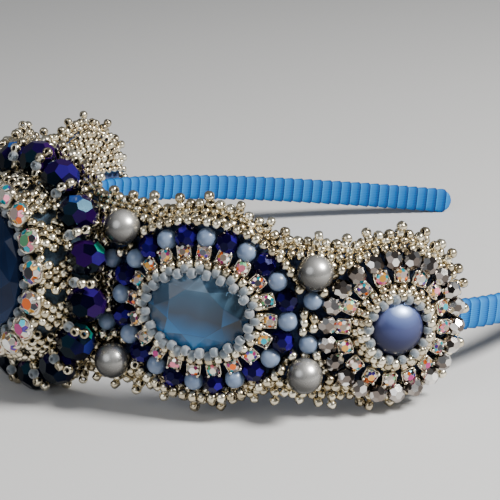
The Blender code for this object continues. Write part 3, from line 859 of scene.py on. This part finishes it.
def make_center(silver):
    base = DOME_TOP_RISE + GAP
    stone_axes = (MAIN_STONE_RADIUS, MAIN_STONE_RADIUS)
    frosted = sew_bezel("main_bezel_seeds", plane, stone_axes, base, MAIN_BEZEL_ROWS, "main_bezel")
    shape = stone_shape(MAIN_STONE_RADIUS * 1.03, MAIN_STONE_HEIGHT, girdle=MAIN_STONE_HEIGHT * 0.6, table=0.62)
    set_stone("main_cut_stone", plane, base, stone_axes, shape, "main_stone", "main_stone")
    set_chatons("main_chatons", plane, (MAIN_CHATON_RING, MAIN_CHATON_RING), base, MAIN_CHATONS, cup_shape,
                "main_chaton_ring")

    # Large faceted beads, each with its hole along the ring, and a seed group over every gap between two
    dark = Beads(faceted_shape(DARK_BEAD_RADIUS * 1.02))
    for point, tangent, normal, _ in dark_spots():
        dark.add(point, tangent, normal, loose=0.08)
    dark.build("dark_faceted_beads", MATERIALS["dark"], "navy_glass",
               [f"dark_bead_{i + 1:02d}" for i in range(DARK_BEAD_COUNT)], smooth=False)
    for radius, rise, kind in GAP_SEEDS:
        beads = frosted if kind == "frosted" else silver
        for point, tangent, normal, radial in ring(plane, (radius * MM, radius * MM), rise * MM, DARK_BEAD_COUNT,
                                                   DARK_RING_PHASE + 0.5):
            beads.add(clear_of_floor(point, normal), normal + radial * 0.3, tangent, loose=0.25)
    frosted.build("center_frosted_seeds", MATERIALS["frosted"], "light_bead")


def make_drum_net():
    """Slanting runs of seeds over the drum, with openings between them"""
    net = Beads(SEED)
    for j, (rise, radius) in enumerate(NET_ROWS):
        spots = ring(plane, (radius * MM, radius * MM), rise * MM, NET_COLUMNS, j * 0.5)
        for i, (point, tangent, normal, radial) in enumerate(spots):
            step = i + j // 2
            if step % 4 == 3 and 0 < j < len(NET_ROWS) - 1:
                continue
            slant = 0.5 if step % 8 < 4 else -0.5
            net.add(point + tangent * RNG.normal(0, 0.15 * MM), unit(tangent + normal * slant), radial,
                    drawn_size(), loose=0.15)
    net.build("drum_net_seeds", MATERIALS["silver"], "seeds")


def make_oval(side, sign):
    surface = bent(sign * OVAL_OUTLINE[0])
    frosted = sew_bezel(f"oval_bezel_seeds_{side}", surface, OVAL_BEZEL, SEAT_RISE, OVAL_BEZEL_ROWS,
                        f"oval_bezel_{side}")
    frosted.build(f"oval_frosted_seeds_{side}", MATERIALS["frosted"], "light_bead")
    shape = stone_shape(OVAL_STONE[0], OVAL_STONE_HEIGHT, girdle=4.0 * MM, table=0.58)
    set_stone(f"oval_cut_stone_{side}", surface, SEAT_RISE, OVAL_STONE, shape, "oval_stone", f"oval_stone_{side}")
    set_chatons(f"oval_chatons_{side}", surface, OVAL_CHATON_RING, SEAT_RISE, OVAL_CHATONS, square_cup_shape,
                f"oval_chaton_chain_{side}")
    light = Beads(round_shape(LIGHT_BEAD_RADIUS, 24, 16))
    cobalt = Beads(faceted_shape(COBALT_BEAD_RADIUS))
    cobalt.verts = cobalt.verts * (1.06, 1.06, 1.12)
    spots = ring(surface, OVAL_BEAD_RING, SEAT_RISE + COBALT_BEAD_RADIUS, OVAL_BEAD_COUNT)
    for i, (point, tangent, normal, _) in enumerate(spots):
        if i % 2:
            cobalt.add(point, tangent, normal, loose=0.1)
        else:
            light.add(point + normal * 0.2 * MM, tangent, normal, RNG.normal(0.98, 0.015))
    replaced = [f"oval_bead_ring_{side}"]
    light.build(f"oval_light_beads_{side}", MATERIALS["light"], "light_bead", replaced)
    cobalt.build(f"oval_cobalt_beads_{side}", MATERIALS["cobalt"], "bead_ring", replaced, smooth=False)


def make_end(side, sign):
    surface = bent(sign * END_OUTLINE[0])
    radius = END_CABOCHON_RADIUS
    frosted = sew_bezel(f"end_bezel_seeds_{side}", surface, (radius, radius), SEAT_RISE, END_BEZEL_ROWS,
                        f"end_bezel_{side}")
    frosted.build(f"end_frosted_seeds_{side}", MATERIALS["frosted"], "light_bead")
    dome = Beads(round_shape(1.0, 48, 32))
    dome.verts = dome.verts * (radius, radius, END_CABOCHON_HEIGHT * 0.55)
    point, normal = surface(0.0, 0.0, SEAT_RISE + END_CABOCHON_HEIGHT * 0.45)
    dome.add(point, normal, UP)
    dome.build(f"end_pearl_cabochon_{side}", MATERIALS["cabochon"], "cabochon", [f"end_cabochon_{side}"])
    set_chatons(f"end_chatons_{side}", surface, (END_CHATON_RING, END_CHATON_RING), SEAT_RISE, END_CHATONS,
                square_cup_shape, f"end_chaton_chain_{side}")
    mirror = Beads(faceted_shape(END_FACETED_RADIUS * 1.12))
    spots = ring(surface, (END_FACETED_RING, END_FACETED_RING), END_FACETED_RISE, END_FACETED_COUNT)
    for point, tangent, normal, _ in spots:
        mirror.add(point, tangent, normal, loose=0.12)
    mirror.build(f"end_mirror_beads_{side}", MATERIALS["mirror"], "faceted_silver", [f"end_faceted_ring_{side}"],
                 smooth=False)


def make_notch_beads():
    """Pearls and light beads in the notches, and where they sit, for the seeds to keep clear of"""
    taken = []
    groups = (
        ("notch_pearls", PEARL_RADIUS, PEARL_SPOTS, "pearl", "pearl", "pearl"),
        ("notch_light_beads", ACCENT_RADIUS, ACCENT_SPOTS, "light", "light_bead", "accent_bead"),
    )
    for name, radius, spots, look, slot, solid in groups:
        beads = Beads(round_shape(radius, 32, 20))
        for _, sign in SIDES:
            for s, z in spots:
                for above in (1, -1):
                    point = place(sign * s, above * z, SEAT_RISE + radius)
                    beads.add(point, UP, hoop_frame(sign * s)[1])
                    taken.append((point, radius))
        beads.build(name, MATERIALS[look], slot, [f"{solid}_{i:02d}" for i in range(1, 9)])
    return taken


def inside_medallion(s, z, rise, margin):
    """True where a medallion's own beads leave no room for a seed sewn on the felt"""
    stretch = (CROWN_RADIUS + rise) / CROWN_RADIUS
    if hypot(s * stretch, z) < DOME_RADIUS + DRUM_CLEARANCE:
        return True
    for outline, (a, b), _ in FELT_MEDALLIONS:
        if hypot((abs(s) - outline[0]) * stretch / (a + margin), z / (b + margin)) < 1:
            return True
    return False


def sewn_spot(s, z, rise):
    """Spot on the felt, in the same form as those of outline_row"""
    normal = hoop_frame(s)[1]
    return place(s, z, rise), unit(np.cross(normal, UP)), normal, UP, s, z


def hugging_row(center, semi_axes, rise, inset):
    """Spots just outside a medallion's beads"""
    count = round(2 * pi * sqrt((semi_axes[0] ** 2 + semi_axes[1] ** 2) / 2) / SEED_PITCH)
    spots = []
    for t in np.arange(count) * 2 * pi / count:
        s = center + semi_axes[0] * cos(t) * CROWN_RADIUS / (CROWN_RADIUS + rise)
        z = semi_axes[1] * sin(t)
        if abs(z) < outline_height(s, z > 0, inset):
            spots.append(sewn_spot(s, z, rise))
    return spots


def make_edge_seeds(edge):
    """Base row over the panel's edge, a fuller row past it with uneven points, and rows inside it front and back"""
    for i, (point, tangent, normal, off, _, _) in enumerate(outline_row(*EDGE_BASE_ROW)):
        edge.add(clear_of_floor(point + normal * RNG.normal(0, 0.15 * MM), normal), off, normal,
                 drawn_size(), loose=0.15)
        lift = normal * RNG.normal(0.3 * MM, 0.35 * MM)
        spot = point + tangent * RNG.normal(1.0, 0.12) * MM + off * RNG.normal(1.45, 0.12) * MM + lift
        spot = clear_of_floor(spot, normal)
        edge.add(spot, unit(tangent + off * RNG.normal(0, 0.5)), normal, drawn_size(), loose=0.25)
        if i % 3 == 0 or RNG.random() < 0.15:
            spot = spot + off * RNG.normal(1.5, 0.15) * MM + lift + tangent * RNG.normal(0, 0.4) * MM
            edge.add(clear_of_floor(spot, normal), unit(tangent + off * RNG.normal(0, 0.5)), normal,
                     drawn_size(), loose=0.25)
    front = outline_row(*EDGE_FRONT_ROW)
    for point, tangent, normal, off, _, _ in front:
        edge.add(clear_of_floor(point + normal * RNG.normal(0, 0.15 * MM), normal),
                 unit(tangent + off * RNG.normal(0, 0.3)), normal, drawn_size(), loose=0.2)
    for inset in BACK_INSETS:
        for point, tangent, normal, off, s, z in outline_row(inset, BACK_RISE):
            if abs(z) > BAND_REACH and (inset == BACK_INSETS[0] or abs(s) > FULL_BACK_START):
                edge.add(clear_of_floor(point, -normal), unit(tangent + off * RNG.normal(0, 0.3)), -normal,
                         drawn_size(), loose=0.2)
    return [point for point, *_ in front]


def felt_spots(layer, rise, margin):
    """Spots to try for one layer of seeds, and how many of them, the first, are rows round the medallions"""
    spots = []
    for outline, axes, upper_inset in FELT_MEDALLIONS:
        row_axes = (axes[0] + margin + 0.1 * MM, axes[1] + margin + 0.1 * MM)
        for sign in (-1, 1):
            spots += hugging_row(sign * outline[0], row_axes, rise, upper_inset if layer else SEWN_INSET)
    hugging = len(spots)
    if not layer:
        for inset in FILL_INSETS:
            spots += outline_row(inset, rise)
    random_s, random_z = (RNG.uniform(-reach, reach, RANDOM_SPOTS) for reach in RANDOM_REACH)
    for s, z in zip(random_s, random_z):
        if abs(z) < outline_height(s, z > 0, SEWN_INSET):
            spots.append(sewn_spot(s, z, rise))
    return spots, hugging


def make_sewn_seeds(silver, taken):
    """Edge rows, then rows and single seeds that fill the felt up to the medallions in two layers"""
    edge = Beads(SEED)
    seeds = np.array(make_edge_seeds(edge))
    edge.build("edge_seeds", MATERIALS["silver"], "seeds", ["edge_beading"])

    # Spheres round the big beads, which a seed keeps out of
    balls = [(point, radius + BEAD_CLEARANCE) for point, radius in taken]
    balls += [(point, DARK_BEAD_RADIUS + BEAD_CLEARANCE) for point, *_ in dark_spots()]
    centers = np.array([point for point, _ in balls])
    reaches = np.array([reach for _, reach in balls])
    for layer, rise in enumerate(SEWN_RISES):
        margin = layer * 0.5 * MM
        spots, hugging = felt_spots(layer, rise, margin)
        for i, (point, tangent, normal, off, s, z) in enumerate(spots):
            if layer and i >= hugging and RNG.random() < 0.5:
                continue
            if inside_medallion(s, z, rise, margin) or np.any(np.linalg.norm(centers - point, axis=1) < reaches):
                continue
            if np.min(np.linalg.norm(seeds - point, axis=1)) < SEED_APART:
                continue
            seeds = np.vstack([seeds, point])
            axis = unit(tangent + off * RNG.normal(0, 0.5) + normal * RNG.normal(0, 0.3))
            silver.add(point + normal * abs(RNG.normal(0, 0.25 * MM)), axis, normal, drawn_size())
    silver.build("felt_seeds", MATERIALS["silver"], "seeds")


def dress_cad_nodes():
    for name, look in (("felt_panel", "felt"), ("center_dome", "drum_felt")):
        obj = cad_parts[name]
        obj.data.materials.clear()
        obj.data.materials.append(MATERIALS[look])


# Stage, in the row frame

FLOOR_REACH = 6.0
LIGHT_TARGET = (0.0, -0.03, 0.02)


def add_area_light(name, location, size, power, colour):
    data = bpy.data.lights.new(name, "AREA")
    data.shape = "DISK"
    data.size = size
    data.energy = power
    data.color = colour
    light = add_object(name, data)
    light.location = location
    light.rotation_mode = "QUATERNION"
    light.rotation_quaternion = (Vector(LIGHT_TARGET) - light.location).to_track_quat("-Z", "Y")


def make_stage():
    mesh = bpy.data.meshes.new("floor")
    corners = ((-1, -1), (1, -1), (1, 1), (-1, 1))
    mesh.from_pydata([(FLOOR_REACH * x, FLOOR_REACH * y, 0.0) for x, y in corners], [], [(0, 1, 2, 3)])
    mesh.materials.append(make_material("pale_floor", Base_Color=(0.56, 0.56, 0.56), Roughness=0.6))
    floor = add_object("floor", mesh)
    world = bpy.data.worlds.new("studio")
    world.use_nodes = True
    background = world.node_tree.nodes["Background"]
    background.inputs["Color"].default_value = (0.80, 0.84, 0.90, 1.0)
    background.inputs["Strength"].default_value = 0.22
    bpy.context.scene.world = world
    add_area_light("key_light", (0.45, 0.22, 0.50), size=0.21, power=12.0, colour=(1.0, 0.98, 0.94))
    add_area_light("fill_light", (0.15, -0.60, 0.35), size=0.50, power=1.3, colour=(0.92, 0.95, 1.0))


# Camera, as found from the photograph
CAMERA_LOCATION = (311.0 * MM, -235.1 * MM, 147.7 * MM)
VIEW_TURN = radians(35.90)
VIEW_PITCH = radians(18.85)
VIEW_ROLL = radians(-1.965)
FOCAL_PIXELS = 1669.0
PHOTO_WIDTH = 500.0


def make_camera():
    data = bpy.data.cameras.new("camera")
    data.sensor_width = 36.0
    data.lens = FOCAL_PIXELS / PHOTO_WIDTH * data.sensor_width
    data.clip_start = 0.01
    data.clip_end = 50.0
    camera = add_object("camera", data)
    camera.location = CAMERA_LOCATION
    look = Vector((-cos(VIEW_TURN) * cos(VIEW_PITCH), sin(VIEW_TURN) * cos(VIEW_PITCH), -sin(VIEW_PITCH)))
    camera.rotation_mode = "QUATERNION"
    camera.rotation_quaternion = (look.to_track_quat("-Z", "Y").to_matrix()
                                  @ Matrix.Rotation(VIEW_ROLL, 3, "Z")).to_quaternion()
    bpy.context.scene.camera = camera


make_ribbon_hoop()
dress_cad_nodes()
sewn = Beads(SEED)
make_center(sewn)
make_drum_net()
for side, sign in SIDES:
    make_oval(side, sign)
    make_end(side, sign)
make_sewn_seeds(sewn, make_notch_beads())
make_stage()
make_camera()
